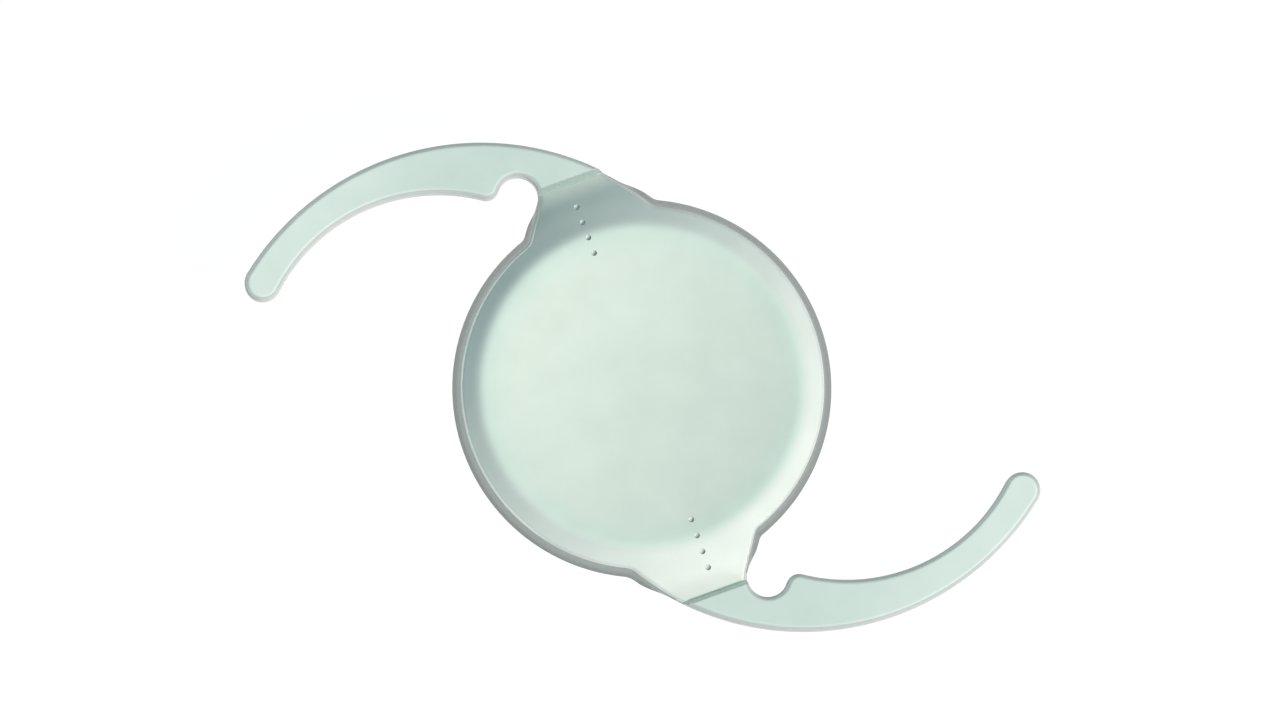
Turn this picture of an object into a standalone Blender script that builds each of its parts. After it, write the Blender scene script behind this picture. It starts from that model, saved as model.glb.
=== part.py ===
"""A one-piece toric intraocular lens: a biconvex optic on two swept spring arms.

The front of the lens faces +Z and the arms reach out along X. The origin is the lowest
point of the back face, on the optical axis. Driving sizes are in millimetres and degrees.
"""

import math

import bmesh
import bpy
from mathutils import Matrix, Vector

MM = 0.001

# Optic: a spherical back, a leaning side wall, and a spherical front inside a coned rim
OPTIC_DIAMETER = 6.0
BACK_RADIUS = 19.0
FRONT_RADIUS = 14.0
ZONE_DIAMETER = 5.0
ZONE_BLEND = 0.28
RIM_SLOPE = 14.0
EDGE_HEIGHT = 0.32
WALL_INSET = 0.10

# Arms, seen from the front: one is drawn, and the other is the same half a turn round
OVERALL_LENGTH = 13.0
ARM_THICKNESS = 0.46
ARM_SETBACK = 0.03
ARM_WIDTH = 0.535
OUTER_RADIUS = 4.33
OUTER_CENTRE_X = -2.54
OUTER_CENTRE_Y = -0.47
NARROWEST_AT = 134.6
TAPER = 0.955
EDGE_ROUNDING = 0.045

# Root of an arm: a notch beside it, and a shoulder that steps up to the arm's front face
NOTCH_RADIUS = 0.32
NOTCH_ROOF = 0.49
NOTCH_AT = 80.7
HEEL_RADIUS = 0.20
FLANK_LEAN = 12.6
FLANK_FILLET = 0.16
OUTER_FILLET = 0.30
SHOULDER_LENGTH = 0.40
STEP_LEAN = 16.0

# Axis marks: a row of dimples on each side, along the flat meridian
MARK_AXIS = 110.0
MARK_COUNT = 4
MARK_PITCH = 0.265
MARK_DIAMETER = 0.09
MARK_DEPTH = 0.03
MARK_OVERHANG = 0.04

# How far one shape runs into another before they are joined or cut
ROOT_BITE = 0.26
RIM_OVERLAP = 0.02
CUT_MARGIN = 0.5
PROUD = 0.002
CREASE = 8.0

# Fineness of the facets
CHORD_ERROR = 0.002
TURN_STEPS = 96
DOME_RINGS = 10
BLEND_RINGS = 4
ROUNDING_STEPS = 3
MARK_SEGMENTS = 12
MERGE_DISTANCE = 1e-7
FLAT_ANGLE = math.radians(0.3)
SHARP_ANGLE = math.radians(35.0)
TIP_SEARCH_ANGLE = 50.0
TIP_SEARCH_STEPS = 40

# Soft water-clear acrylic with a faint green cast
ACRYLIC_COLOUR = (0.70, 0.80, 0.74, 1.0)
ACRYLIC_ROUGHNESS = 0.22
ACRYLIC_IOR = 1.47
ACRYLIC_CLARITY = 0.5


def sag(radius, reach):
    """How far a sphere falls at this distance from its axis."""
    return radius - math.sqrt(radius**2 - reach**2)


# Places that follow from the driving sizes
OPTIC_RADIUS = OPTIC_DIAMETER / 2
WALL_TOP_RADIUS = OPTIC_RADIUS - WALL_INSET
JOIN_RADIUS = WALL_TOP_RADIUS - RIM_OVERLAP
ZONE_START = (ZONE_DIAMETER - ZONE_BLEND) / 2
ZONE_END = (ZONE_DIAMETER + ZONE_BLEND) / 2
STEP_DISTANCE = OPTIC_RADIUS + SHOULDER_LENGTH
BACK_EDGE_Z = sag(BACK_RADIUS, OPTIC_RADIUS)
RIM_Z = BACK_EDGE_Z + EDGE_HEIGHT
ARM_BACK_Z = BACK_EDGE_Z + ARM_SETBACK
ARM_FRONT_Z = ARM_BACK_Z + ARM_THICKNESS


def front_height(reach):
    """Height of the front face: the dome, a soft blend, then the cone of rim and shoulder."""
    rim_fall = math.tan(math.radians(RIM_SLOPE))
    if reach >= ZONE_END:
        return RIM_Z + (WALL_TOP_RADIUS - reach) * rim_fall
    dome_fall = math.tan(math.asin(ZONE_START / FRONT_RADIUS))
    inward = min(ZONE_END - reach, ZONE_BLEND)
    height = RIM_Z + (WALL_TOP_RADIUS - ZONE_END + inward) * rim_fall
    height += (dome_fall - rim_fall) * inward**2 / (2 * ZONE_BLEND)
    if reach < ZONE_START:
        height += sag(FRONT_RADIUS, ZONE_START) - sag(FRONT_RADIUS, reach)
    return height


def polar(centre, radius, degrees):
    """Point at this distance and direction from a centre."""
    turn = math.radians(degrees)
    return Vector((centre[0] + radius * math.cos(turn), centre[1] + radius * math.sin(turn)))


def bearing(centre, point):
    """Direction in degrees from a centre to a point."""
    return math.degrees(math.atan2(point[1] - centre[1], point[0] - centre[0]))


def crossing(centre_a, radius_a, centre_b, radius_b, left):
    """Where two circles cross, on the left or the right of the way from centre a to centre b."""
    gap = centre_b - centre_a
    along = (gap.length_squared + radius_a**2 - radius_b**2) / (2 * gap.length)
    aside = math.sqrt(radius_a**2 - along**2)
    forward = gap.normalized()
    sideways = Vector((-forward.y, forward.x)) * (aside if left else -aside)
    return centre_a + forward * along + sideways


def arc(centre, radius, start, end, clockwise=False):
    """Points along an arc, both ends included, close enough together for the chord error."""
    sweep = (start - end if clockwise else end - start) % 360
    step = 2 * math.degrees(math.acos(1 - CHORD_ERROR / radius))
    count = max(2, math.ceil(sweep / step))
    signed = -sweep if clockwise else sweep
    return [polar(centre, radius, start + signed * i / count) for i in range(count + 1)]


def tip_circle(outer, inner, inner_radius):
    """Centre and radius of the full round that ends an arm, at half the overall length.

    Each spoke from the outer arc's centre has one circle that touches both arcs. The search
    halves the angle between spokes until that circle just reaches the overall length.
    """

    def round_on_spoke(degrees):
        spoke = polar((0.0, 0.0), 1.0, degrees)
        along = (outer - inner).dot(spoke)
        between = (outer - inner).length_squared + 2 * OUTER_RADIUS * along
        between += OUTER_RADIUS**2 - inner_radius**2
        radius = between / (2 * (along + OUTER_RADIUS + inner_radius))
        return outer + spoke * (OUTER_RADIUS - radius), radius

    near, far = NARROWEST_AT, NARROWEST_AT + TIP_SEARCH_ANGLE
    for _ in range(TIP_SEARCH_STEPS):
        middle = (near + far) / 2
        centre, radius = round_on_spoke(middle)
        if centre.length + radius < OVERALL_LENGTH / 2:
            near = middle
        else:
            far = middle
    return round_on_spoke(near)


def flank_join_circle(notch):
    """Centre of the fillet between the notch's straight flank and the optic."""
    outward = polar((0.0, 0.0), 1.0, -FLANK_LEAN)
    downward = Vector((outward.y, -outward.x))
    start = notch + outward * (NOTCH_RADIUS - FLANK_FILLET)
    ahead = -start.dot(downward)
    aside_squared = start.length_squared - ahead**2
    return start + downward * (ahead - math.sqrt((JOIN_RADIUS + FLANK_FILLET) ** 2 - aside_squared))


def arm_outline():
    """Outline of one arm and its root, counter-clockwise, closed inside the optic."""
    axis = Vector((0.0, 0.0))
    outer = Vector((OUTER_CENTRE_X, OUTER_CENTRE_Y))
    inner = polar(outer, TAPER, NARROWEST_AT)
    inner_radius = OUTER_RADIUS - ARM_WIDTH - TAPER
    tip, tip_radius = tip_circle(outer, inner, inner_radius)
    notch = polar(outer, OUTER_RADIUS - NOTCH_ROOF - NOTCH_RADIUS, NOTCH_AT)
    heel = crossing(inner, inner_radius + HEEL_RADIUS, notch, NOTCH_RADIUS + HEEL_RADIUS, True)
    outer_join = crossing(axis, JOIN_RADIUS + OUTER_FILLET, outer, OUTER_RADIUS + OUTER_FILLET, False)
    flank_join = flank_join_circle(notch)
    root_start, root_end = bearing(axis, flank_join), bearing(axis, outer_join)

    points = arc(outer_join, OUTER_FILLET, root_end - 180, bearing(outer_join, outer), True)
    points += arc(outer, OUTER_RADIUS, bearing(outer, outer_join), bearing(outer, tip))[1:]
    points += arc(tip, tip_radius, bearing(outer, tip), bearing(tip, inner))[1:]
    points += arc(inner, inner_radius, bearing(inner, tip), bearing(inner, heel), True)[1:]
    points += arc(heel, HEEL_RADIUS, bearing(heel, inner), bearing(heel, notch))[1:]
    points += arc(notch, NOTCH_RADIUS, bearing(notch, heel), -FLANK_LEAN, True)[1:]
    points += arc(flank_join, FLANK_FILLET, -FLANK_LEAN, root_start + 180, True)
    points += arc(axis, JOIN_RADIUS - ROOT_BITE, root_start, root_end, True)
    return points


def rim_rounding():
    """Points of the small round between the rim's cone and the leaning side wall."""
    wall_lean = math.degrees(math.atan2(WALL_INSET, EDGE_HEIGHT))
    turned_by = 90 - RIM_SLOPE - wall_lean
    back_off = EDGE_ROUNDING * math.tan(math.radians(turned_by / 2))
    start = polar((WALL_TOP_RADIUS, RIM_Z + PROUD), back_off, 180 - RIM_SLOPE)
    centre = polar(start, EDGE_ROUNDING, 270 - RIM_SLOPE)
    return arc(centre, EDGE_ROUNDING, 90 - RIM_SLOPE, 90 - RIM_SLOPE - turned_by, True)


def stock_profile():
    """Half section of the optic before its front is cut, from the flat top to the back pole."""
    top = ARM_FRONT_Z + CUT_MARGIN / 2
    rim = rim_rounding()
    points = [(0.0, top), (rim[0].x, top)] + rim
    for ring in range(DOME_RINGS, -1, -1):
        reach = OPTIC_RADIUS * ring / DOME_RINGS
        points.append((reach, sag(BACK_RADIUS, reach)))
    return points


def front_profile():
    """Half section of the space in front of the lens, from its flat top to the front pole."""
    top = ARM_FRONT_Z + CUT_MARGIN
    far = OPTIC_RADIUS + 2 * SHOULDER_LENGTH
    points = [(0.0, top), (far, top), (far, front_height(far))]
    for ring in range(BLEND_RINGS, 0, -1):
        reach = ZONE_START + ZONE_BLEND * ring / BLEND_RINGS
        points.append((reach, front_height(reach)))
    for ring in range(DOME_RINGS, -1, -1):
        reach = ZONE_START * ring / DOME_RINGS
        points.append((reach, front_height(reach)))
    return points


def step_profile():
    """Side view of a block that keeps an arm: under the shoulder, up the step and away."""
    far = 2 * OPTIC_DIAMETER
    foot = Vector((STEP_DISTANCE, front_height(STEP_DISTANCE)))
    rise = ARM_FRONT_Z - foot.y
    head = foot + Vector((rise * math.tan(math.radians(STEP_LEAN)), rise))
    foot_off = EDGE_ROUNDING * math.tan(math.radians((90 - STEP_LEAN + RIM_SLOPE) / 2))
    foot_start = polar(foot, foot_off, 180 - RIM_SLOPE)
    foot_centre = polar(foot_start, EDGE_ROUNDING, 90 - RIM_SLOPE)
    head_off = EDGE_ROUNDING * math.tan(math.radians((90 - STEP_LEAN) / 2))
    head_end = head + Vector((head_off, PROUD))
    head_centre = head_end - Vector((0.0, EDGE_ROUNDING))
    under_shoulder = polar(foot_start, CUT_MARGIN, 180 - RIM_SLOPE + CREASE)

    points = [under_shoulder]
    points += arc(foot_centre, EDGE_ROUNDING, 270 - RIM_SLOPE, 360 - STEP_LEAN)
    points += arc(head_centre, EDGE_ROUNDING, 180 - STEP_LEAN, 90, True)
    points += [head_end + Vector((far, CUT_MARGIN)), head_end + Vector((far, -far)),
               under_shoulder - Vector((0.0, far))]
    return points[::-1]


def new_collection(name):
    """A collection in the scene."""
    collection = bpy.data.collections.new(name)
    bpy.context.scene.collection.children.link(collection)
    return collection


def new_object(name, data, collection):
    """An object for a mesh or a curve, in the collection."""
    thing = bpy.data.objects.new(name, data)
    collection.objects.link(thing)
    return thing


def baked(thing, collection):
    """A plain mesh object in place of this one, as its modifiers leave it."""
    bpy.context.view_layer.update()
    graph = bpy.context.evaluated_depsgraph_get()
    mesh = bpy.data.meshes.new_from_object(thing.evaluated_get(graph))
    name, place = thing.name, thing.matrix_world.copy()
    bpy.data.objects.remove(thing)
    plain = new_object(name, mesh, collection)
    plain.matrix_world = place
    return plain


def clean(mesh):
    """Joins corners that lie on each other, and merges faces that lie in one plane."""
    bm = bmesh.new()
    bm.from_mesh(mesh)
    bmesh.ops.remove_doubles(bm, verts=bm.verts, dist=MERGE_DISTANCE)
    bmesh.ops.recalc_face_normals(bm, faces=bm.faces)
    bmesh.ops.dissolve_limit(bm, angle_limit=FLAT_ANGLE, verts=bm.verts, edges=bm.edges)
    bm.to_mesh(mesh)
    bm.free()


def turned(name, profile, collection):
    """A solid of revolution, from a profile at +X that runs down its outer side."""
    mesh = bpy.data.meshes.new(name)
    bm = bmesh.new()
    corners = [bm.verts.new((reach * MM, 0.0, height * MM)) for reach, height in profile]
    for upper, lower in zip(corners, corners[1:]):
        bm.edges.new((upper, lower))
    bm.to_mesh(mesh)
    bm.free()
    solid = new_object(name, mesh, collection)
    screw = solid.modifiers.new("Turn", "SCREW")
    screw.steps = TURN_STEPS
    screw.render_steps = TURN_STEPS
    screw.use_merge_vertices = True
    screw.merge_threshold = MERGE_DISTANCE
    return solid


def plate(name, outline, bottom, top, collection):
    """A flat plate with this outline, between two heights."""
    curve = bpy.data.curves.new(name, "CURVE")
    curve.dimensions = "2D"
    curve.fill_mode = "BOTH"
    curve.extrude = (top - bottom) / 2 * MM
    spline = curve.splines.new("POLY")
    spline.points.add(len(outline) - 1)
    for corner, point in zip(spline.points, outline):
        corner.co = (point.x * MM, point.y * MM, 0.0, 1.0)
    spline.use_cyclic_u = True
    solid = baked(new_object(name, curve, collection), collection)
    bpy.data.curves.remove(curve)
    solid.data.transform(Matrix.Translation((0.0, 0.0, (top + bottom) / 2 * MM)))
    clean(solid.data)
    return solid


def boolean(thing, other, operation):
    """Adds a Boolean between two objects."""
    modifier = thing.modifiers.new(other.name, "BOOLEAN")
    modifier.operation = operation
    modifier.solver = "EXACT"
    modifier.object = other


def arm_plate(collection):
    """One arm with its root, still at full thickness, with the edges of both faces rounded."""
    solid = plate("arm", arm_outline(), ARM_BACK_Z, ARM_FRONT_Z, collection)
    bevel = solid.modifiers.new("Edge rounding", "BEVEL")
    bevel.limit_method = "ANGLE"
    bevel.angle_limit = SHARP_ANGLE
    bevel.width = EDGE_ROUNDING * MM
    bevel.segments = ROUNDING_STEPS
    return baked(solid, collection)


def front_space(collection):
    """The space in front of optic and roots, which stops at the step up to each arm."""
    space = turned("front_space", front_profile(), collection)
    upright = Matrix.Rotation(math.radians(90), 4, "X")
    for side in (MARK_AXIS, MARK_AXIS + 180):
        keeper = plate(f"arm_keeper_{side:.0f}", step_profile(), -OPTIC_DIAMETER, OPTIC_DIAMETER,
                       collection)
        keeper.matrix_world = Matrix.Rotation(math.radians(side), 4, "Z") @ upright
        boolean(space, keeper, "DIFFERENCE")
    return space


def lens_form(lens, cutters):
    """Optic and both arms in one piece, with the front cut across optic and roots alike."""
    body = turned("lens_body", stock_profile(), lens)
    arm = arm_plate(cutters)
    opposite = new_object("arm_opposite", arm.data, cutters)
    opposite.matrix_world = Matrix.Rotation(math.pi, 4, "Z")
    boolean(body, arm, "UNION")
    boolean(body, opposite, "UNION")
    boolean(body, front_space(cutters), "DIFFERENCE")
    body = baked(body, lens)
    clean(body.data)
    return body


def axis_marks(body, marks):
    """Adds the rows of small round dimples."""
    ball_radius = ((MARK_DIAMETER / 2) ** 2 + MARK_DEPTH**2) / (2 * MARK_DEPTH)
    ball = bpy.data.meshes.new("mark")
    bm = bmesh.new()
    bmesh.ops.create_uvsphere(bm, u_segments=MARK_SEGMENTS, v_segments=MARK_SEGMENTS // 2,
                              radius=ball_radius * MM)
    bm.to_mesh(ball)
    bm.free()
    for side in (MARK_AXIS, MARK_AXIS + 180):
        for number in range(MARK_COUNT):
            reach = OPTIC_RADIUS + MARK_OVERHANG - number * MARK_PITCH
            spot = polar((0.0, 0.0), reach, side)
            height = front_height(reach) + ball_radius - MARK_DEPTH
            mark = new_object(f"mark_{side:.0f}_{number + 1}", ball, marks)
            mark.location = (spot.x * MM, spot.y * MM, height * MM)
    dimples = body.modifiers.new("Axis marks", "BOOLEAN")
    dimples.operation = "DIFFERENCE"
    dimples.solver = "EXACT"
    dimples.operand_type = "COLLECTION"
    dimples.collection = marks


def acrylic():
    """The soft clear plastic of the whole lens."""
    material = bpy.data.materials.new("soft_acrylic")
    material.use_nodes = True
    shader = material.node_tree.nodes["Principled BSDF"]
    shader.inputs["Base Color"].default_value = ACRYLIC_COLOUR
    shader.inputs["Roughness"].default_value = ACRYLIC_ROUGHNESS
    shader.inputs["Metallic"].default_value = 0.0
    shader.inputs["IOR"].default_value = ACRYLIC_IOR
    shader.inputs["Transmission Weight"].default_value = ACRYLIC_CLARITY
    return material


def main():
    """Builds the lens."""
    for old in list(bpy.data.objects):
        bpy.data.objects.remove(old)
    lens = new_collection("intraocular_lens")
    cutters = new_collection("cutters")
    marks = new_collection("mark_cutters")

    body = lens_form(lens, cutters)
    axis_marks(body, marks)
    body = baked(body, lens)
    body.data.materials.clear()
    body.data.materials.append(acrylic())
    body.data.shade_smooth()
    body.data.set_sharp_from_angle(angle=SHARP_ANGLE)
    for helper in [*cutters.objects, *marks.objects]:
        helper.hide_render = True
        helper.display_type = "WIRE"


if __name__ == "__main__":
    main()
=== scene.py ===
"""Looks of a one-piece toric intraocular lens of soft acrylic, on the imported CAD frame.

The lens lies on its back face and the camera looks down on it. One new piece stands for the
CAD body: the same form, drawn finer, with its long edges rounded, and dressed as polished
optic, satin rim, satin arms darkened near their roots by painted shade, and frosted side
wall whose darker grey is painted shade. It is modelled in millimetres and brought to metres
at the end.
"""

from __future__ import annotations

import logging
import math
from collections.abc import Callable, Iterator
from dataclasses import dataclass, field
from enum import Enum

import bmesh
import bpy
from mathutils import Matrix, Vector

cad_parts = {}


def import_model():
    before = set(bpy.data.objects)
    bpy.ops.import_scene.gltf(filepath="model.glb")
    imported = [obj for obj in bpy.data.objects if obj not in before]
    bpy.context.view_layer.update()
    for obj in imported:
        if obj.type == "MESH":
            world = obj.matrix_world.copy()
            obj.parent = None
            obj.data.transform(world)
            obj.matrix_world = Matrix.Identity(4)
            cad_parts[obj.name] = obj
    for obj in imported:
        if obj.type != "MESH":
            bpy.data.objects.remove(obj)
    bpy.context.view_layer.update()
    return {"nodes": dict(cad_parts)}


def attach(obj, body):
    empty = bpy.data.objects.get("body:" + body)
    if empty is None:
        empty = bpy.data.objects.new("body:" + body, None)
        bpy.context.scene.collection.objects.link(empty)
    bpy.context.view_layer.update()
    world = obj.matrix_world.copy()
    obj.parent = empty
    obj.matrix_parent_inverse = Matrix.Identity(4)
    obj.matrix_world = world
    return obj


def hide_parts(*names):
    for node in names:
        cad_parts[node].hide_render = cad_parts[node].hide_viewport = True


Point = Vector
Object = bpy.types.Object
Face = bmesh.types.BMFace
Tree = bpy.types.NodeTree
Socket = bpy.types.NodeSocket

MM = 0.001
AXIS: Point = Vector((0.0, 0.0))
FEWEST_CHORDS = 3
# Refractive index of hydrophobic soft acrylic.
ACRYLIC_IOR = 1.47
LOG = logging.getLogger("intraocular_lens")


def linear(colour: str) -> tuple[float, float, float, float]:
    """Turns an sRGB hex colour into linear light, by the standard's curve."""
    channels = [int(colour[i : i + 2], 16) / 255 for i in (1, 3, 5)]
    light = [c / 12.92 if c <= 0.04045 else ((c + 0.055) / 1.055) ** 2.4 for c in channels]
    return (light[0], light[1], light[2], 1.0)


def polar(centre: Point, radius: float, degrees: float) -> Point:
    """Returns the point at this distance and direction from a centre, in the plane."""
    turn = math.radians(degrees)
    return Vector((centre.x + radius * math.cos(turn), centre.y + radius * math.sin(turn)))


def bearing(centre: Point, point: Point) -> float:
    """Returns the direction in degrees from a centre to a point."""
    return math.degrees(math.atan2(point.y - centre.y, point.x - centre.x))


def smooth(value: float, start: float, end: float) -> float:
    """Eases from 0 at the start to 1 at the end, by the quintic with no kink at either."""
    t = min(max((value - start) / (end - start), 0.0), 1.0)
    return t**3 * (10 - 15 * t + 6 * t**2)


def sag(radius: float, reach: float) -> float:
    """Returns how far a sphere falls at this distance from its axis."""
    return radius - math.sqrt(radius**2 - reach**2)


class Side(Enum):
    """The two faces of the lens."""

    FRONT = 1
    BACK = -1


class Slot(Enum):
    """Material slots of the lens."""

    FACE = 0
    WALL = 1
    ARM_WALL = 2
    STEP = 3
    MARK = 4


@dataclass(frozen=True)
class Arc:
    """A stretch of outline that turns about a centre.

    Attributes:
        centre: What it turns about.
        radius: Its radius in millimetres.
        sweep: Degrees that it turns, counter-clockwise where positive.
    """

    centre: Point
    radius: float
    sweep: float

    def steps(self, chord_error: float) -> int:
        """Returns how many chords keep the arc within the chord error."""
        widest = 2 * math.degrees(math.acos(1 - chord_error / self.radius))
        return max(FEWEST_CHORDS, math.ceil(abs(self.sweep) / widest))


@dataclass(frozen=True)
class OpticSection:
    """Section through the optic: spherical faces, a coned rim and a leaning side wall.

    Attributes:
        optic_radius: Radius of the back face, where the optic is widest.
        wall_inset: How far the side wall leans inwards on its way up.
        edge_height: Height of the side wall.
        back_radius: Radius of curvature of the back face.
        front_radius: Radius of curvature of the front zone.
        zone_start: Where the front zone begins to blend into the rim.
        zone_end: Where it has blended.
        rim_slope: Fall of the rim's cone in degrees.
    """

    optic_radius: float = 3.0
    wall_inset: float = 0.10
    edge_height: float = 0.32
    back_radius: float = 19.0
    front_radius: float = 14.0
    zone_start: float = 2.36
    zone_end: float = 2.64
    rim_slope: float = 14.0

    @property
    def wall_top(self) -> float:
        """Radius of the optic where its side wall meets the rim."""
        return self.optic_radius - self.wall_inset

    @property
    def back_edge(self) -> float:
        """Height of the edge of the back face."""
        return sag(self.back_radius, self.optic_radius)

    def front(self, reach: float) -> float:
        """Height of the front face at this distance from the axis: dome, blend or cone."""
        rim_fall = math.tan(math.radians(self.rim_slope))
        rim_z = self.back_edge + self.edge_height
        if reach >= self.zone_end:
            return rim_z + (self.wall_top - reach) * rim_fall
        blend = self.zone_end - self.zone_start
        dome_fall = math.tan(math.asin(self.zone_start / self.front_radius))
        inward = min(self.zone_end - reach, blend)
        height = rim_z + (self.wall_top - self.zone_end + inward) * rim_fall
        height += (dome_fall - rim_fall) * inward**2 / (2 * blend)
        if reach < self.zone_start:
            height += sag(self.front_radius, self.zone_start) - sag(self.front_radius, reach)
        return height


@dataclass(frozen=True)
class ArmPlan:
    """One arm seen from the front, between two arcs, with the notch and heel at its root.

    Attributes:
        overall_length: Diameter of the circle that the tips just reach.
        width: Width of the arm where it is narrowest.
        outer_radius: Radius of the outer arc.
        outer_centre: Its centre.
        narrowest_at: Direction of the narrowest place from there.
        taper: Distance between the centres of the two arcs.
        notch_radius: Radius of the notch.
        notch_roof: Width of the arm above the notch.
        notch_at: Direction of the notch from the outer centre.
        heel_radius: Radius of the heel beyond the notch.
        flank_lean: Lean of the root's straight flank in degrees.
        flank_fillet: Radius of the fillet between flank and optic.
        outer_fillet: Radius of the fillet between outer arc and optic.
        tip_search: Degrees past the narrowest place in which the tip lies.
        tip_steps: How often that range is halved.
    """

    overall_length: float = 13.0
    width: float = 0.535
    outer_radius: float = 4.33
    outer_centre: tuple[float, float] = (-2.54, -0.47)
    narrowest_at: float = 134.6
    taper: float = 0.955
    notch_radius: float = 0.32
    notch_roof: float = 0.49
    notch_at: float = 80.7
    heel_radius: float = 0.20
    flank_lean: float = 12.6
    flank_fillet: float = 0.16
    outer_fillet: float = 0.30
    tip_search: float = 50.0
    tip_steps: int = 40

    @property
    def outer(self) -> Point:
        """Centre of the outer arc."""
        return Vector(self.outer_centre)

    @property
    def inner(self) -> Point:
        """Centre of the inner arc."""
        return polar(self.outer, self.taper, self.narrowest_at)

    @property
    def inner_radius(self) -> float:
        """Radius of the inner arc."""
        return self.outer_radius - self.width - self.taper

    def tip(self) -> tuple[Point, float]:
        """Finds centre and radius of the round end that just reaches the overall length."""
        outer, inner = self.outer, self.inner

        def on_spoke(degrees: float) -> tuple[Point, float]:
            spoke = polar(AXIS, 1.0, degrees)
            along = (outer - inner).dot(spoke)
            between = (outer - inner).length_squared + 2 * self.outer_radius * along
            between += self.outer_radius**2 - self.inner_radius**2
            radius = between / (2 * (along + self.outer_radius + self.inner_radius))
            return outer + spoke * (self.outer_radius - radius), radius

        near, far = self.narrowest_at, self.narrowest_at + self.tip_search
        for _ in range(self.tip_steps):
            middle = (near + far) / 2
            centre, radius = on_spoke(middle)
            if centre.length + radius < self.overall_length / 2:
                near = middle
            else:
                far = middle
        return on_spoke(near)

    @staticmethod
    def crossing(a: Point, radius_a: float, b: Point, radius_b: float, left: bool) -> Point:
        """Finds where two circles cross, on the left or right of the way from a to b."""
        gap = b - a
        along = (gap.length_squared + radius_a**2 - radius_b**2) / (2 * gap.length)
        aside = math.sqrt(radius_a**2 - along**2) * (1 if left else -1)
        forward = gap.normalized()
        return a + forward * along + Vector((-forward.y, forward.x)) * aside

    def outline(self, optic_radius: float) -> tuple[Point, list[Arc | Point]]:
        """Half of the outline: one arm, then the rim as far as the other arm.

        Args:
            optic_radius: Radius of the optic that the arm grows from.

        Returns:
            The start of the outline, and its stretches counter-clockwise: arcs, and moves.
        """
        outer, inner = self.outer, self.inner
        tip, tip_radius = self.tip()
        notch_reach = self.outer_radius - self.notch_roof - self.notch_radius
        notch = polar(outer, notch_reach, self.notch_at)
        heel = self.crossing(inner, self.inner_radius + self.heel_radius,
                             notch, self.notch_radius + self.heel_radius, True)
        outer_join = self.crossing(AXIS, optic_radius + self.outer_fillet,
                                   outer, self.outer_radius + self.outer_fillet, False)
        flank_join = self.flank_join(notch, optic_radius)
        flank_start = polar(notch, self.notch_radius, -self.flank_lean)
        flank_end = polar(flank_join, self.flank_fillet, -self.flank_lean)

        def arc(centre: Point, radius: float, start: float, end: float, way: int) -> Arc:
            return Arc(centre, radius, way * ((way * (end - start)) % 360))

        root_start, root_end = bearing(AXIS, flank_join), bearing(AXIS, outer_join)
        stretches = [
            arc(outer_join, self.outer_fillet, root_end + 180, bearing(outer_join, outer), -1),
            arc(outer, self.outer_radius, bearing(outer, outer_join), bearing(outer, tip), 1),
            arc(tip, tip_radius, bearing(outer, tip), bearing(tip, inner), 1),
            arc(inner, self.inner_radius, bearing(inner, tip), bearing(inner, heel), -1),
            arc(heel, self.heel_radius, bearing(heel, inner), bearing(heel, notch), 1),
            arc(notch, self.notch_radius, bearing(notch, heel), -self.flank_lean, -1),
            flank_end - flank_start,
            arc(flank_join, self.flank_fillet, -self.flank_lean, root_start + 180, -1),
            arc(AXIS, optic_radius, root_start, root_end + 180, 1),
        ]
        return polar(AXIS, optic_radius, root_end), stretches

    def flank_join(self, notch: Point, optic_radius: float) -> Point:
        """Finds the centre of the fillet between the notch's straight flank and the optic.

        Args:
            notch: Centre of the notch.
            optic_radius: Radius of the optic.

        Returns:
            The fillet's centre.
        """
        outward = polar(AXIS, 1.0, -self.flank_lean)
        downward = Vector((outward.y, -outward.x))
        start = notch + outward * (self.notch_radius - self.flank_fillet)
        ahead = -start.dot(downward)
        aside_squared = start.length_squared - ahead**2
        reach = math.sqrt((optic_radius + self.flank_fillet) ** 2 - aside_squared)
        return start + downward * (ahead - reach)


@dataclass(frozen=True)
class Relief:
    """Heights of both faces of the lens, over the whole plan.

    Attributes:
        optic: Section of the optic, whose rim cone also runs out over the shoulders.
        mark_axis: Direction of the axis marks, which the steps cross at right angles.
        step_start: Distance along that direction where the step up to an arm begins.
        step_run: How far the step leans, from foot to head.
        cove_run: How far before the step's foot the shoulder begins to ease upwards.
        cove_lift: How far it has risen at the foot.
        arms_only: Distance from the axis past which there are only arms.
        arm_back: Height of the arms' flat backs.
        arm_thickness: Thickness of the arms.
        back_run: How far the back face eases from the optic's edge to an arm's back.
    """

    optic: OpticSection
    mark_axis: float = 110.0
    step_start: float = 3.40
    step_run: float = 0.10
    cove_run: float = 0.28
    cove_lift: float = 0.025
    arms_only: float = 3.8
    arm_back: float = 0.2683
    arm_thickness: float = 0.46
    back_run: float = 0.06

    @property
    def arm_front(self) -> float:
        """Height of the flat fronts of the arms."""
        return self.arm_back + self.arm_thickness

    def along(self, place: Point) -> float:
        """Returns the distance of a place from the axis, along the marks' direction."""
        turn = math.radians(self.mark_axis)
        return abs(place.x * math.cos(turn) + place.y * math.sin(turn))

    def risen(self, place: Point) -> float:
        """How far up a step a place is: none on optic and shoulder, one on an arm."""
        if math.hypot(place.x, place.y) > self.arms_only:
            return 1.0
        return smooth(self.along(place), self.step_start, self.step_start + self.step_run)

    def front(self, place: Point) -> float:
        """Height of the front face at a place: on optic, rim, shoulder, step or arm."""
        eased = min(max(1 - (self.step_start - self.along(place)) / self.cove_run, 0.0), 1.0)
        ground = self.optic.front(math.hypot(place.x, place.y)) + self.cove_lift * eased**2
        return ground + (self.arm_front - ground) * self.risen(place)

    def back(self, place: Point) -> float:
        """Height of the back face at a place: a sphere, then flat on roots and arms."""
        reach = math.hypot(place.x, place.y)
        edge = self.optic.optic_radius
        dome = sag(self.optic.back_radius, min(reach, edge))
        climb = self.arm_back - self.optic.back_edge
        return dome + climb * smooth(reach, edge, edge + self.back_run)


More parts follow.
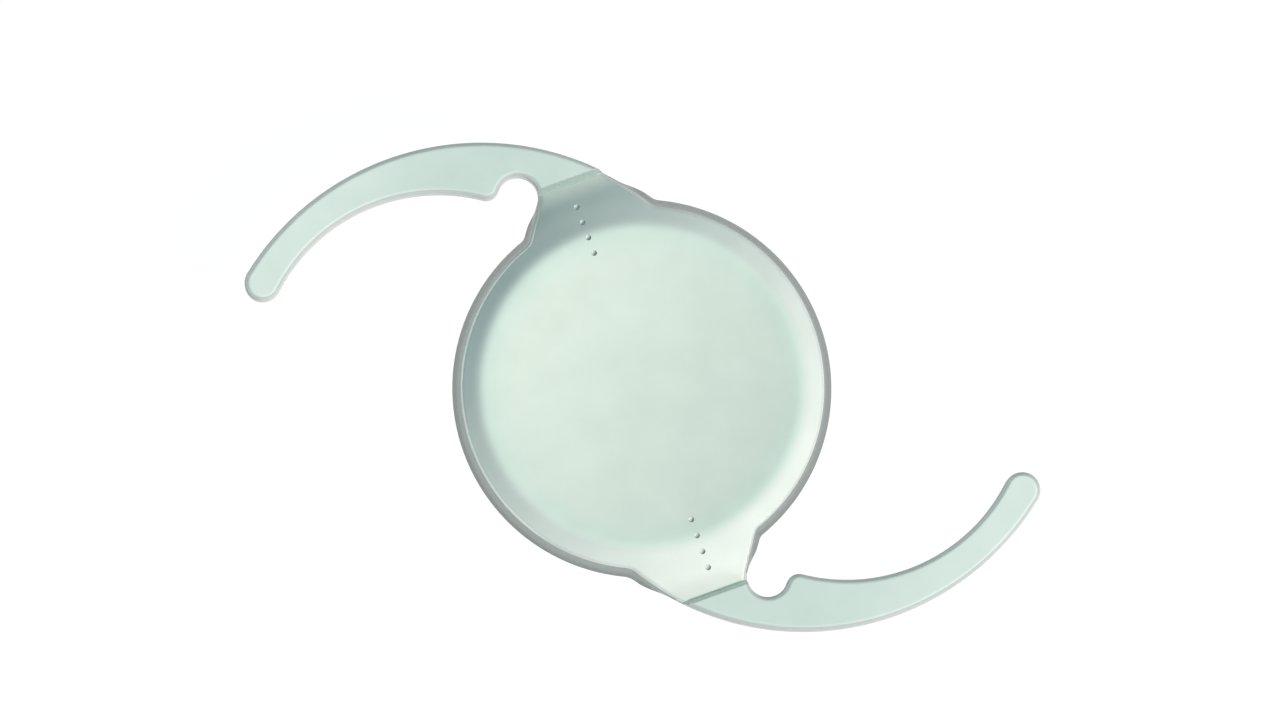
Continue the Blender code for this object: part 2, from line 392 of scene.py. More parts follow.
@dataclass(frozen=True)
class AxisMarks:
    """Two rows of small round dimples that show the axis of the cylinder.

    Attributes:
        count: Dimples in a row.
        pitch: Distance between two of them.
        diameter: Width of a dimple.
        depth: Depth of a dimple.
        overhang: How far outside the optic's radius the outermost one lies.
        skin: Depth from which a face belongs to a dimple.
        segments: Facets round a ball.
    """

    count: int = 4
    pitch: float = 0.265
    diameter: float = 0.09
    depth: float = 0.03
    overhang: float = 0.04
    skin: float = 0.004
    segments: int = 32

    @property
    def ball_radius(self) -> float:
        """Radius of the ball that leaves a dimple of this diameter and depth."""
        return ((self.diameter / 2) ** 2 + self.depth**2) / (2 * self.depth)

    def places(self, relief: Relief) -> Iterator[Point]:
        """Yields the centre of each ball, above the front face that it presses into."""
        for side in (relief.mark_axis, relief.mark_axis + 180):
            for number in range(self.count):
                reach = relief.optic.optic_radius + self.overhang - number * self.pitch
                spot = polar(AXIS, reach, side)
                height = relief.front(spot) + self.ball_radius - self.depth
                yield Vector((spot.x, spot.y, height))


@dataclass
class LensBody:
    """The whole lens, modelled as a flat plate with rounded edges and then given its relief.

    Attributes:
        optic: Section of the optic.
        plan: Outline of an arm.
        marks: The axis marks.
        chord_error: How far a chord of the outline may stray from its arc.
        front_rounding: Radius of the long edges round the front.
        back_rounding: Radius of the long edges round the back.
        rounding_steps: Rings of facets in a rounding.
        plate: Thickness of the plate before it gets its relief.
        flat_band: Width of flat strips that keep the shading of roundings and steps narrow.
        grid: Spacing of the cuts that give the faces points for their relief.
        step_cuts: Cuts across each step.
        cove_cuts: Cuts across the cove before each step.
        lean_run: How far the side wall's lean reaches out along a root.
        merge: Points closer than this are one.
        sliver: Points closer than this are one once the dimples are cut.
        smooth_angle: Angle in degrees past which an edge stays sharp.
        wall_rise: Faces whose normals rise less than this belong to the side wall.
        facing: A face is turned to a direction where its normal has more than this share in it.
    """

    optic: OpticSection = field(default_factory=OpticSection)
    plan: ArmPlan = field(default_factory=ArmPlan)
    marks: AxisMarks = field(default_factory=AxisMarks)
    chord_error: float = 0.0004
    front_rounding: float = 0.08
    back_rounding: float = 0.045
    rounding_steps: int = 6
    plate: float = 1.0
    flat_band: float = 0.012
    grid: float = 0.12
    step_cuts: int = 12
    cove_cuts: int = 8
    lean_run: float = 0.5
    merge: float = 1e-4
    sliver: float = 1e-3
    smooth_angle: float = 38.0
    wall_rise: float = 0.58
    facing: float = 0.9

    @property
    def relief(self) -> Relief:
        """Heights of both faces."""
        return Relief(self.optic)

    def build(self) -> Object:
        """Models the lens, and returns it with no material yet."""
        lens = self.trace_plan()
        self.thicken()
        for side in Side:
            self.round_edge(lens, side)
        self.cut_grid()
        self.raise_relief(lens)
        bpy.ops.object.mode_set(mode="OBJECT")
        self.press_marks(lens)
        self.bring_to_metres(lens)
        return lens

    def trace_plan(self) -> Object:
        """Walks round the outline, and returns the lens as one flat face, in edit mode."""
        bpy.ops.object.select_all(action="DESELECT")
        bpy.ops.mesh.primitive_plane_add(size=1.0, location=(0.0, 0.0, 0.0))
        lens = bpy.context.object
        lens.name = "soft_acrylic_lens"
        start, stretches = self.plan.outline(self.optic.wall_top)
        bpy.ops.object.mode_set(mode="EDIT")
        bpy.ops.mesh.select_all(action="SELECT")
        bpy.ops.mesh.merge(type="CENTER")
        bpy.ops.transform.translate(value=(start.x, start.y, 0.0))
        for half in (1, -1):
            for stretch in stretches:
                if isinstance(stretch, Point):
                    move = stretch * half
                    bpy.ops.mesh.extrude_region_move(
                        TRANSFORM_OT_translate={"value": (move.x, move.y, 0.0)})
                    continue
                centre = stretch.centre * half
                # The operator counts a clockwise turn as positive.
                bpy.ops.mesh.spin(steps=stretch.steps(self.chord_error),
                                  angle=math.radians(-stretch.sweep),
                                  center=(centre.x, centre.y, 0.0), axis=(0.0, 0.0, 1.0))
        bpy.ops.mesh.select_all(action="SELECT")
        bpy.ops.mesh.remove_doubles(threshold=self.merge)
        bpy.ops.mesh.edge_face_add()
        return lens

    def thicken(self) -> None:
        """Draws the flat face up into a plate."""
        bpy.ops.mesh.select_all(action="SELECT")
        bpy.ops.mesh.extrude_region_move(TRANSFORM_OT_translate={"value": (0.0, 0.0, self.plate)})
        bpy.ops.mesh.select_all(action="SELECT")
        bpy.ops.mesh.normals_make_consistent(inside=False)

    def round_edge(self, lens: Object, side: Side) -> None:
        """Rounds the edge of one face with rings of insets, then adds a narrow flat ring.

        Args:
            lens: The lens, in edit mode.
            side: Which face.
        """
        self.select_faces(lens, lambda face: face.normal.z * side.value > self.facing)
        radius = self.front_rounding if side is Side.FRONT else self.back_rounding
        quarter = math.pi / 2 / self.rounding_steps
        for step in range(self.rounding_steps):
            near, far = step * quarter, (step + 1) * quarter
            bpy.ops.mesh.inset(thickness=radius * (math.cos(near) - math.cos(far)),
                               depth=radius * (math.sin(far) - math.sin(near)),
                               use_even_offset=True)
        bpy.ops.mesh.inset(thickness=self.flat_band, depth=0.0, use_even_offset=True)

    def cut_grid(self) -> None:
        """Cuts the plate along and across the marks' direction, closely at the two steps."""
        relief = self.relief
        extent = relief.step_start
        count = round(2 * extent / self.grid)
        coarse = [-extent + 2 * extent * i / count for i in range(count + 1)]
        fine = [extent + relief.step_run * (i + 1) / self.step_cuts for i in range(self.step_cuts)]
        # Narrow strips at foot and head keep a step's shading off shoulder and arm.
        fine += [extent - self.flat_band, fine[-1] + self.flat_band]
        fine += [extent - relief.cove_run * (i + 1) / self.cove_cuts
                 for i in range(self.cove_cuts)]
        for turn, places in ((0.0, coarse + fine + [-place for place in fine]), (90.0, coarse)):
            normal = polar(AXIS, 1.0, relief.mark_axis + turn)
            for place in places:
                bpy.ops.mesh.select_all(action="SELECT")
                bpy.ops.mesh.bisect(plane_co=(normal.x * place, normal.y * place, 0.0),
                                    plane_no=(normal.x, normal.y, 0.0), threshold=self.merge)

    def raise_relief(self, lens: Object) -> None:
        """Moves every point of the plate to the height of its face, and leans the side wall.

        Args:
            lens: The lens, in edit mode.
        """
        relief = self.relief
        mesh = bmesh.from_edit_mesh(lens.data)
        for corner in mesh.verts:
            if corner.co.z > self.plate / 2:
                corner.co.z += relief.front(corner.co) - self.plate - self.front_rounding
                continue
            spread = 1 + self.lean(corner.co) * (self.optic.optic_radius / self.optic.wall_top - 1)
            corner.co.x *= spread
            corner.co.y *= spread
            corner.co.z += relief.back(corner.co) + self.back_rounding
        bmesh.update_edit_mesh(lens.data)

    def lean(self, place: Point) -> float:
        """Share of the wall's lean at a place: one at the free rim, none on the arms."""
        reach = math.hypot(place.x, place.y)
        return 1 - smooth(reach, self.optic.wall_top, self.optic.wall_top + self.lean_run)

    def press_marks(self, lens: Object) -> None:
        """Presses the axis marks into the front face.

        Args:
            lens: The lens, in object mode.
        """
        balls: list[Object] = []
        for place in self.marks.places(self.relief):
            bpy.ops.mesh.primitive_uv_sphere_add(
                segments=self.marks.segments, ring_count=self.marks.segments // 2,
                radius=self.marks.ball_radius, location=place)
            balls.append(bpy.context.object)
        bpy.ops.object.select_all(action="DESELECT")
        for ball in balls:
            ball.select_set(True)
        bpy.context.view_layer.objects.active = balls[0]
        bpy.ops.object.join()
        joined = bpy.context.object
        bpy.ops.object.transform_apply(location=True, rotation=True, scale=True)
        bpy.ops.object.select_all(action="DESELECT")
        bpy.context.view_layer.objects.active = lens
        lens.select_set(True)
        cut = lens.modifiers.new("Axis marks", "BOOLEAN")
        cut.operation = "DIFFERENCE"
        cut.solver = "EXACT"
        cut.object = joined
        bpy.ops.object.modifier_apply(modifier=cut.name)
        bpy.data.objects.remove(joined)

    def bring_to_metres(self, lens: Object) -> None:
        """Scales the finished mesh about the origin, and smooths its shading."""
        bpy.ops.object.mode_set(mode="EDIT")
        bpy.ops.mesh.select_all(action="SELECT")
        bpy.ops.mesh.remove_doubles(threshold=self.sliver)
        bpy.ops.transform.resize(value=(MM, MM, MM), center_override=(0.0, 0.0, 0.0))
        bpy.ops.object.mode_set(mode="OBJECT")
        bpy.ops.object.shade_smooth_by_angle(angle=math.radians(self.smooth_angle))

    @staticmethod
    def select_faces(lens: Object, wanted: Callable[[Face], bool]) -> None:
        """Selects the faces that a test picks, and no others.

        Args:
            lens: The object, in edit mode.
            wanted: The test.
        """
        bpy.ops.mesh.select_all(action="DESELECT")
        bpy.ops.mesh.select_mode(type="FACE")
        mesh = bmesh.from_edit_mesh(lens.data)
        for face in mesh.faces:
            face.select_set(bool(wanted(face)))
        bmesh.update_edit_mesh(lens.data)

    def dress(self, lens: Object, finishes: dict[Slot, bpy.types.Material]) -> None:
        """Gives each region of the lens its material: a later test overrules the ones before it.

        Args:
            lens: The lens, in object mode.
            finishes: A material for each slot.
        """
        lens.data.materials.clear()
        for slot in Slot:
            lens.data.materials.append(finishes[slot])
        bpy.ops.object.mode_set(mode="EDIT")
        tests = {Slot.WALL: self.on_wall, Slot.ARM_WALL: self.on_arm_wall,
                 Slot.STEP: self.on_step, Slot.MARK: self.in_mark}
        for slot, test in tests.items():
            self.select_faces(lens, test)
            lens.active_material_index = slot.value
            bpy.ops.object.material_slot_assign()
        bpy.ops.object.mode_set(mode="OBJECT")

    def on_wall(self, face: Face) -> bool:
        """Tells whether a face belongs to the side wall."""
        return abs(face.normal.z) < self.wall_rise

    def on_arm_wall(self, face: Face) -> bool:
        """Tells whether a face belongs to an arm's side wall."""
        middle = face.calc_center_median() / MM
        return self.on_wall(face) and self.relief.risen(middle) >= 1.0

    def on_step(self, face: Face) -> bool:
        """Tells whether a face belongs to a step, between shoulder and arm."""
        middle = face.calc_center_median() / MM
        outward = polar(AXIS, 1.0, self.relief.mark_axis)
        turned = abs(face.normal.xy.normalized().dot(outward))
        return (0.0 < self.relief.risen(middle) < 1.0 and face.normal.z > 0.0
                and turned > self.facing)

    def in_mark(self, face: Face) -> bool:
        """Tells whether a face lies in a dimple: near a mark's centre, below the front."""
        middle = face.calc_center_median() / MM
        relief = self.relief
        near = min((middle.xy - ball.xy).length for ball in self.marks.places(relief))
        deep = relief.front(middle) - middle.z
        return near < self.marks.diameter / 2 and self.marks.skin < deep < 2 * self.marks.depth


def add_node(tree: Tree, kind: str, inputs: dict[str | int, object] | None = None,
             **settings: object) -> bpy.types.Node:
    """Adds a node to a tree.

    Args:
        tree: The tree.
        kind: The node's type.
        inputs: A constant or another node's output for each input.
        settings: Properties of the node itself.

    Returns:
        The node.
    """
    node = tree.nodes.new(kind)
    for name, value in settings.items():
        setattr(node, name, value)
    for name, value in (inputs or {}).items():
        if isinstance(value, Socket):
            tree.links.new(value, node.inputs[name])
        else:
            node.inputs[name].default_value = value
    return node


def calculate(tree: Tree, operation: str, *values: Socket | float) -> Socket:
    """Adds a sum on plain values, and returns its socket."""
    node = add_node(tree, "ShaderNodeMath", dict(enumerate(values)), operation=operation)
    return node.outputs[0]


def scaled(tree: Tree, vector: Socket | tuple[float, ...], scale: Socket | float) -> Socket:
    """Adds a vector or colour times a plain value, and returns its socket."""
    node = add_node(tree, "ShaderNodeVectorMath", {0: vector, "Scale": scale}, operation="SCALE")
    return node.outputs[0]


def ramp(tree: Tree, value: Socket, start: float, end: float, low: float = 0.0,
         high: float = 1.0, easing: str = "SMOOTHSTEP") -> Socket:
    """Adds a ramp from one level to another.

    Args:
        tree: The material's tree.
        value: What decides the level.
        start: Where the ramp begins.
        end: Where it ends.
        low: Level up to the start.
        high: Level past the end.
        easing: Course of the ramp.

    Returns:
        The level's socket.
    """
    return add_node(tree, "ShaderNodeMapRange", {
        "Value": value, "From Min": start, "From Max": end, "To Min": low, "To Max": high},
        interpolation_type=easing).outputs[0]


def mixed(tree: Tree, share: Socket, first: Socket | float, second: Socket | float) -> Socket:
    """Adds a mix of two plain values, and returns its socket."""
    return add_node(tree, "ShaderNodeMix", {"Factor": share, 2: first, 3: second}).outputs[0]


def tinted(tree: Tree, share: Socket, first: Socket | str, second: Socket | str) -> Socket:
    """Adds a mix of two colours, each a socket or hex, and returns its socket."""
    ends = [linear(end) if isinstance(end, str) else end for end in (first, second)]
    return add_node(tree, "ShaderNodeMix", {"Factor": share, 6: ends[0], 7: ends[1]},
                    data_type="RGBA").outputs[2]


def place_on_lens(tree: Tree) -> Socket:
    """Adds the place on the object in millimetres, and returns its socket."""
    return scaled(tree, add_node(tree, "ShaderNodeTexCoord").outputs["Object"], 1 / MM)


def new_acrylic(name: str) -> tuple[bpy.types.Material, bpy.types.Node]:
    """Makes a material of soft acrylic, and returns it with its shader."""
    material = bpy.data.materials.new(name)
    material.use_nodes = True
    shader = material.node_tree.nodes["Principled BSDF"]
    shader.inputs["IOR"].default_value = ACRYLIC_IOR
    return material, shader


@dataclass(frozen=True)
class Finish:
    """How a region of the lens looks: its colour, and how rough its skin is."""

    colour: str
    roughness: float


@dataclass(frozen=True)
class Rounding:
    """How a rounded edge looks, and which part of it.

    Attributes:
        colour: Its colour.
        start: Upward share of the normal where the edge begins to look rounded.
        full: Upward share of the normal where it fully does.
    """

    colour: str
    start: float
    full: float


@dataclass(frozen=True)
class Mottle:
    """Uneven patches in a colour.

    Attributes:
        size: Width of a patch in millimetres.
        depth: How much lighter or darker the strongest patches are.
        detail: Octaves of the noise.
        roughness: Share of its finer octaves.
        low: Noise at the darkest patches.
        high: Noise at the lightest patches.
    """

    size: float
    depth: float
    detail: float = 2.0
    roughness: float = 0.5
    low: float = 0.3
    high: float = 0.7

    def over(self, tree: Tree, colour: Socket | tuple[float, ...], place: Socket) -> Socket:
        """Adds the patches to a colour, and returns the uneven colour's socket."""
        noise = add_node(tree, "ShaderNodeTexNoise", {
            "Vector": place, "Scale": 1 / self.size, "Detail": self.detail,
            "Roughness": self.roughness}).outputs[0]
        level = ramp(tree, noise, self.low, self.high, 1 - self.depth, 1 + self.depth, "LINEAR")
        return scaled(tree, colour, level)


@dataclass(frozen=True)
class FaceAcrylic:
    """Soft hydrophobic acrylic of both faces: a polished optic, a satin rim and satin arms.

    The optic is moulded and polished, so it is smooth and pale, and the arms keep the fine
    grain of the mould, so they look duller. The arms are painted darker near their roots and
    lighter towards their tips: painted shade. The optic is clear: through it the eye also sees
    its back face, a shallow bowl, and rim and roots look steeper than they are because both
    of their faces slope. A bump gives that. Rounded edges reflect light totally from inside,
    so they are part mirror; the arms' rounded edges are painted a darker grey, as painted shade.

    Attributes:
        optic: Section of the optic.
        relief: Heights of the faces.
        rim: Finish of rim and shoulders.
        zone: Finish of the optical zone.
        arm: Finish of the arms.
        unshaded_tip_colour: The arms' colour at their tips, past the painted shade near the roots.
        ring_colour: The zone's colour at its border.
        rounding: The optic's rounded edges.
        shade_painted_arm_rounding: The arms' rounded edges, whose darker grey is painted shade.
        rounding_mirror: How much of a mirror they are.
        clouds: Faint clouding of the polymer.
        zone_edge: Radius of the zone's border.
        zone_blend: Width of the blend from zone to rim.
        ring_start: Where the zone's colour begins to change.
        seen_bowl_radius: Radius of the bowl seen through the zone.
        seen_rim_slope: Degrees that the rim looks steeper.
        seen_root_slope: Degrees that the roots look steeper still.
        root_start: Distance from the axis where they begin to.
        root_blend: Width over which they do.
        grain_size: Width of a grain. A mould's real grain, a few micrometres wide, is too
            fine for the picture, so it is drawn coarser.
        grain_detail: Octaves of the grain.
        grain_height: Height of the grain.
        shade_fade_start: Distance from the axis where the painted shade of the roots starts to
            fade.
        shade_fade_end: Where it has faded.
    """

    optic: OpticSection
    relief: Relief
    rim: Finish = Finish("#CFD9D2", 0.16)
    zone: Finish = Finish("#DCE8DC", 0.20)
    arm: Finish = Finish("#D0E0D7", 0.36)
    # Painted shade: the arms are darker near their roots than at these tips.
    unshaded_tip_colour: str = "#DDEBE3"
    ring_colour: str = "#D6E8DD"
    rounding: Rounding = Rounding("#C6CEC9", start=0.97, full=0.85)
    # The arms' rounded edges are painted a darker grey: painted shade for their outlines.
    shade_painted_arm_rounding: Rounding = Rounding("#B4BDB9", start=0.998, full=0.9)
    rounding_mirror: float = 0.5
    clouds: Mottle = Mottle(size=0.7, depth=0.03, detail=3.0, roughness=0.55)
    zone_edge: float = 2.56
    zone_blend: float = 0.16
    ring_start: float = 2.0
    seen_bowl_radius: float = 25.0
    seen_rim_slope: float = 4.0
    seen_root_slope: float = 4.0
    root_start: float = 3.0
    root_blend: float = 0.2
    grain_size: float = 0.05
    grain_detail: float = 2.0
    grain_height: float = 0.0003
    shade_fade_start: float = 4.4
    shade_fade_end: float = 6.0

    def build(self) -> bpy.types.Material:
        """Makes the material and returns it."""
        material, shader = new_acrylic("moulded_soft_acrylic")
        tree = material.node_tree
        place = place_on_lens(tree)
        flat = add_node(tree, "ShaderNodeVectorMath", {0: place, 1: (1.0, 1.0, 0.0)},
                        operation="MULTIPLY").outputs[0]
        reach = add_node(tree, "ShaderNodeVectorMath", {0: flat},
                         operation="LENGTH").outputs["Value"]
        half = self.zone_blend / 2
        zone = ramp(tree, reach, self.zone_edge - half, self.zone_edge + half, 1.0, 0.0)
        ring = ramp(tree, reach, self.ring_start, self.zone_edge)
        tip = ramp(tree, reach, self.shade_fade_start, self.shade_fade_end)
        arm = self.arm_share(tree, place, reach)
        normal = add_node(tree, "ShaderNodeTexCoord").outputs["Normal"]
        upward = add_node(tree, "ShaderNodeSeparateXYZ", {0: normal}).outputs["Z"]
        rounded, arm_rounded = (ramp(tree, upward, edge.start, edge.full, easing="LINEAR")
                                for edge in (self.rounding, self.shade_painted_arm_rounding))

        inner = tinted(tree, ring, self.zone.colour, self.ring_colour)
        optic = tinted(tree, zone, self.rim.colour, inner)
        optic = tinted(tree, rounded, optic, self.rounding.colour)
        # Painted shade near the arms' roots, fading to the lighter tips.
        arms = tinted(tree, tip, self.arm.colour, self.unshaded_tip_colour)
        # Painted shade: the arms' rounded edges turn a darker grey.
        arms = tinted(tree, arm_rounded, arms, self.shade_painted_arm_rounding.colour)
        whole = tinted(tree, arm, optic, arms)
        mirror = calculate(tree, "MULTIPLY", mixed(tree, arm, rounded, arm_rounded),
                           self.rounding_mirror)
        polish = mixed(tree, zone, self.rim.roughness, self.zone.roughness)
        roughness = mixed(tree, arm, polish, self.arm.roughness)
        for name, value in (("Base Color", self.clouds.over(tree, whole, place)),
                            ("Metallic", mirror), ("Roughness", roughness),
                            ("Normal", self.bump(tree, place, reach, arm))):
            tree.links.new(value, shader.inputs[name])
        return material

    def arm_share(self, tree: Tree, place: Socket, reach: Socket) -> Socket:
        """Adds a mask that is one on the arms and none on roots and optic."""
        relief = self.relief
        turn = math.radians(relief.mark_axis)
        along = add_node(tree, "ShaderNodeVectorMath", {
            0: place, 1: (math.cos(turn), math.sin(turn), 0.0)},
            operation="DOT_PRODUCT").outputs["Value"]
        along = calculate(tree, "ABSOLUTE", along)
        past_step = ramp(tree, along, relief.step_start, relief.step_start + relief.step_run)
        far_out = calculate(tree, "GREATER_THAN", reach, relief.arms_only)
        return calculate(tree, "MAXIMUM", past_step, far_out)

    def bump(self, tree: Tree, place: Socket, reach: Socket, arm: Socket) -> Socket:
        """Adds the bowl, rim and roots seen through the clear optic, and the grain of the arms.

        Args:
            tree: The material's tree.
            place: Place on the object.
            reach: Distance from the optical axis.
            arm: Share of the arms.

        Returns:
            The normal's socket.
        """
        inside = calculate(tree, "SMOOTH_MIN", reach, self.zone_edge, self.zone_blend)
        outside = calculate(tree, "SMOOTH_MAX", reach, self.zone_edge, self.zone_blend)
        beyond = calculate(tree, "SMOOTH_MAX", reach, self.root_start, self.root_blend)
        squared = calculate(tree, "MULTIPLY", inside, inside)
        curvature = 1 / self.optic.front_radius + 1 / self.seen_bowl_radius
        rim_rise = -math.tan(math.radians(self.seen_rim_slope))
        root_rise = -math.tan(math.radians(self.seen_root_slope))
        bowl = calculate(tree, "MULTIPLY", squared, curvature / 2)
        optic = calculate(tree, "MULTIPLY_ADD", outside, rim_rise, bowl)
        optic = calculate(tree, "MULTIPLY_ADD", beyond, root_rise, optic)
        # It comes to nil at the step, so that it meets the arms with no ridge.
        at_step = self.zone_edge**2 * curvature / 2
        at_step += self.relief.step_start * (rim_rise + root_rise)
        optic = calculate(tree, "SUBTRACT", optic, at_step)
        noise = add_node(tree, "ShaderNodeTexNoise", {
            "Vector": place, "Scale": 1 / self.grain_size, "Detail": self.grain_detail})
        grain = calculate(tree, "MULTIPLY", noise.outputs[0], self.grain_height)
        return add_node(tree, "ShaderNodeBump", {
            "Height": mixed(tree, arm, optic, grain), "Distance": MM,
            "Strength": 1.0}).outputs[0]


@dataclass(frozen=True)
class EdgeAcrylic:
    """The same acrylic beside and between the faces: frosted or satin skin, and on walls
    and steps a darker grey that is painted shade.

    Attributes:
        name: The material's name.
        finish: Its colour and roughness.
        mirror: How much of a mirror it is. A clear lens's edge reflects light totally from
            inside, so it shows its surroundings and looks darker than the faces.
        grain: Frosting. Its real grain, about 0.01 mm wide, is drawn coarser.
    """

    name: str
    finish: Finish
    mirror: float
    grain: Mottle = Mottle(size=0.06, depth=0.06)

    def build(self) -> bpy.types.Material:
        """Makes the material and returns it."""
        material, shader = new_acrylic(self.name)
        shader.inputs["Roughness"].default_value = self.finish.roughness
        shader.inputs["Metallic"].default_value = self.mirror
        tree = material.node_tree
        colour = self.grain.over(tree, linear(self.finish.colour)[:3], place_on_lens(tree))
        tree.links.new(colour, shader.inputs["Base Color"])
        return material


EDGES = {
    # The optic's side wall is ground matt against glare. Its grey, darker than the faces, is
    # painted shade for the dark band that a clear edge shows, with the floor mirrored dully in it.
    Slot.WALL: EdgeAcrylic("frosted_edge_painted_shade", Finish("#969F9C", 0.3), mirror=0.9),
    # The arms' walls are milled and then tumbled, which leaves them duller: they mirror less.
    # Their grey, lighter than the optic's wall, is painted shade for the outline of a clear edge.
    Slot.ARM_WALL: EdgeAcrylic("frosted_arm_edge_painted_shade", Finish("#AAB2AE", 0.4), mirror=0.42),
    # The steps are moulded, and as satin as the arms. Their grey green is painted shade, which
    # draws each step as a dull line.
    Slot.STEP: EdgeAcrylic("moulded_step_painted_shade", Finish("#B0C3BC", 0.4), mirror=0.6),
    # A laser pits the marks and leaves them matt, so they scatter light and mirror nothing.
    Slot.MARK: EdgeAcrylic("lasered_acrylic_mark", Finish("#B2BCB8", 0.6), mirror=0.0),
}


@dataclass(frozen=True)
class PhotographCamera:
    """The camera of the photograph: it looks down, tilted a little towards the lower left.

    Attributes:
        tilt: Degrees between its line of sight and the optical axis.
        towards: Direction in the plane that it is tilted to.
        lens: Focal length.
        sensor: Width of the sensor.
        frame_width: Width of the picture in millimetres on the lens.
        aim: The point on the lens at the picture's middle.
        clip_start: How near the camera sees, in metres.
    """

    tilt: float = 5.0
    towards: float = 250.0
    lens: float = 300.0
    sensor: float = 36.0
    frame_width: float = 20.234
    aim: tuple[float, float, float] = (-0.034, 0.439, 0.4)
    clip_start: float = 0.001

    def build(self) -> Object:
        """Sets the camera up, makes it the scene's camera and returns it."""
        data = bpy.data.cameras.new("photograph_camera")
        data.lens = self.lens
        data.sensor_width = self.sensor
        data.clip_start = self.clip_start
        camera = bpy.data.objects.new(data.name, data)
        bpy.context.scene.collection.objects.link(camera)
        bpy.context.scene.camera = camera
        flat = polar(AXIS, math.sin(math.radians(self.tilt)), self.towards)
        sight = Vector((flat.x, flat.y, math.cos(math.radians(self.tilt))))
        away = self.frame_width * self.lens / self.sensor * MM
        upward = (Vector((0.0, 1.0, 0.0)) - sight * sight.y).normalized()
        turned = Matrix((upward.cross(sight), upward, sight)).transposed()
        place = Vector(self.aim) * MM + sight * away
        camera.matrix_world = Matrix.Translation(place) @ turned.to_4x4()
        return camera


class LampRole(Enum):
    """What a lamp takes part in: the light on matt surfaces, or reflections in edges."""

    DIFFUSE = "diffuse"
    REFLECTION = "reflection"


@dataclass(frozen=True)
class StudioLamp:
    """A round soft light aimed at the lens.

    Attributes:
        name: Its name.
        towards: Direction in the plane that it stands in.
        elevation: Its height in degrees above the floor.
        level: How bright a white face turned to it looks, where 1 is white.
        width: How wide it looks from the lens, in degrees.
        colour: Its colour.
        role: What it takes part in.
        shadow: Whether the lens stops it.
        away: Its distance in metres.
    """

    name: str
    towards: float
    elevation: float
    level: float
    width: float
    colour: str
    role: LampRole
    shadow: bool = False
    away: float = 1.0

    def build(self) -> Object:
        """Sets the lamp up and returns it."""
        data = bpy.data.lights.new(self.name, "AREA")
        data.shape = "DISK"
        data.size = 2 * self.away * math.tan(math.radians(self.width / 2))
        # The power that makes a white face turned to the lamp look as bright as its level.
        data.energy = self.level * math.pi**2 * self.away**2
        data.color = linear(self.colour)[:3]
        data.use_shadow = self.shadow
        lamp = bpy.data.objects.new(self.name, data)
        lamp.visible_diffuse = self.role is LampRole.DIFFUSE
        lamp.visible_glossy = self.role is LampRole.REFLECTION
        bpy.context.scene.collection.objects.link(lamp)
        flat = polar(AXIS, math.cos(math.radians(self.elevation)), self.towards)
        place = Vector((flat.x, flat.y, math.sin(math.radians(self.elevation)))) * self.away
        turned = place.to_track_quat("Z", "Y").to_matrix()
        lamp.matrix_world = Matrix.Translation(place) @ turned.to_4x4()
        return lamp


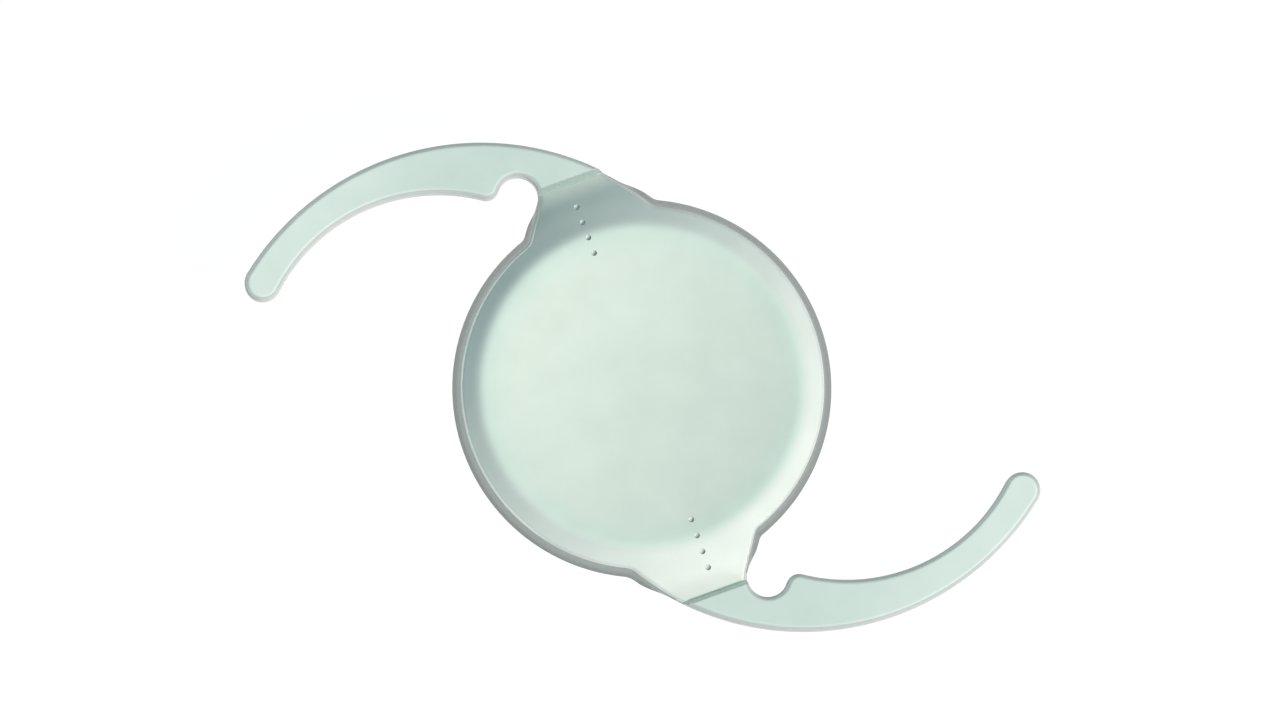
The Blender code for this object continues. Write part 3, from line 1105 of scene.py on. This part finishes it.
@dataclass(frozen=True)
class Studio:
    """White floor, white surroundings and the lamps.

    The key lamp is split in two: a clear lens lets most light through, and the little that
    it stops gives the floor its faint shadow. The cards only show in reflections: they put
    light lines into the rounded edges at the left.

    Attributes:
        floor_size: Width of the floor in metres.
        white: The plain white that the camera and mirrors see.
        card_colour: Colour of the floor where lamps light it.
        floor_glow: Strength of the plain white that the camera sees of it.
        shadow_share: How much of the floor's own light and shadow the camera sees.
        sky_level: Strength of the light from all round.
        sky_colour: Its colour.
        lamps: The lamps.
    """

    floor_size: float = 1.0
    white: str = "#FFFFFF"
    card_colour: str = "#EAEAEA"
    floor_glow: float = 1.18
    shadow_share: float = 0.4
    sky_level: float = 0.31
    sky_colour: str = "#BCF4FF"
    lamps: tuple[StudioLamp, ...] = (
        StudioLamp("key_through_lens", towards=326.0, elevation=25.0, level=1.71, width=16.0,
                   colour="#FFF2EE", role=LampRole.DIFFUSE),
        StudioLamp("key_stopped_by_lens", towards=326.0, elevation=25.0, level=0.15, width=16.0,
                   colour="#FFF2EE", role=LampRole.DIFFUSE, shadow=True),
        StudioLamp("left_card", towards=205.0, elevation=12.0, level=0.2, width=60.0,
                   colour="#FFFFFF", role=LampRole.REFLECTION),
        StudioLamp("upper_card", towards=145.0, elevation=12.0, level=0.2, width=60.0,
                   colour="#FFFFFF", role=LampRole.REFLECTION),
    )

    def build(self) -> Object:
        """Sets up lamps, surroundings and floor, and returns the floor."""
        for lamp in self.lamps:
            lamp.build()
        self.surround()
        return self.lay_floor()

    @staticmethod
    def seen_plainly(tree: Tree) -> Socket:
        """Adds a switch that is one for camera, glossy and transmission rays."""
        rays = add_node(tree, "ShaderNodeLightPath").outputs
        either = calculate(tree, "MAXIMUM", rays["Is Camera Ray"], rays["Is Glossy Ray"])
        return calculate(tree, "MAXIMUM", either, rays["Is Transmission Ray"])

    def lay_floor(self) -> Object:
        """Lays the floor and returns it."""
        bpy.ops.object.select_all(action="DESELECT")
        bpy.ops.mesh.primitive_plane_add(size=self.floor_size, location=(0.0, 0.0, 0.0))
        floor = bpy.context.object
        floor.name = "white_floor"
        # Matt paper card: it spreads light evenly, with no gloss. Most of what the camera sees
        # is plain white, and the rest the card's own light and shadow.
        material = bpy.data.materials.new("matt_white_card")
        material.use_nodes = True
        tree = material.node_tree
        tree.nodes.clear()
        card = add_node(tree, "ShaderNodeBsdfDiffuse", {"Color": linear(self.card_colour)})
        white = add_node(tree, "ShaderNodeEmission", {
            "Color": linear(self.white), "Strength": self.floor_glow})
        share = calculate(tree, "MULTIPLY", self.seen_plainly(tree), 1 - self.shadow_share)
        both = add_node(tree, "ShaderNodeMixShader", {
            "Fac": share, 1: card.outputs[0], 2: white.outputs[0]})
        add_node(tree, "ShaderNodeOutputMaterial", {"Surface": both.outputs[0]})
        floor.data.materials.append(material)
        return floor

    def surround(self) -> None:
        """Sets the world: plain white where it is seen, and a soft cool light elsewhere."""
        world = bpy.data.worlds.new("white_surroundings")
        world.use_nodes = True
        tree = world.node_tree
        tree.nodes.clear()
        light = add_node(tree, "ShaderNodeBackground", {
            "Color": linear(self.sky_colour), "Strength": self.sky_level})
        white = add_node(tree, "ShaderNodeBackground", {
            "Color": linear(self.white), "Strength": 1.0})
        both = add_node(tree, "ShaderNodeMixShader", {
            "Fac": self.seen_plainly(tree), 1: light.outputs[0], 2: white.outputs[0]})
        add_node(tree, "ShaderNodeOutputWorld", {"Surface": both.outputs[0]})
        bpy.context.scene.world = world


def main() -> None:
    """Builds the dressed lens round the CAD frame and sets up the photograph."""
    logging.basicConfig(level=logging.INFO, format="%(name)s: %(message)s")
    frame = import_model()
    LOG.info("CAD nodes: %s", ", ".join(frame["nodes"]))
    bpy.context.scene.view_settings.view_transform = "Standard"

    PhotographCamera().build()
    floor = Studio().build()
    LOG.info("%s: stage", floor.name)

    body = LensBody()
    lens = body.build()
    faces = FaceAcrylic(body.optic, body.relief).build()
    body.dress(lens, {Slot.FACE: faces, **{slot: edge.build() for slot, edge in EDGES.items()}})
    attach(lens, "root")
    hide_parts("lens_body")
    LOG.info("%s: %d faces, stands for lens_body", lens.name, len(lens.data.polygons))


if __name__ == "__main__":
    main()
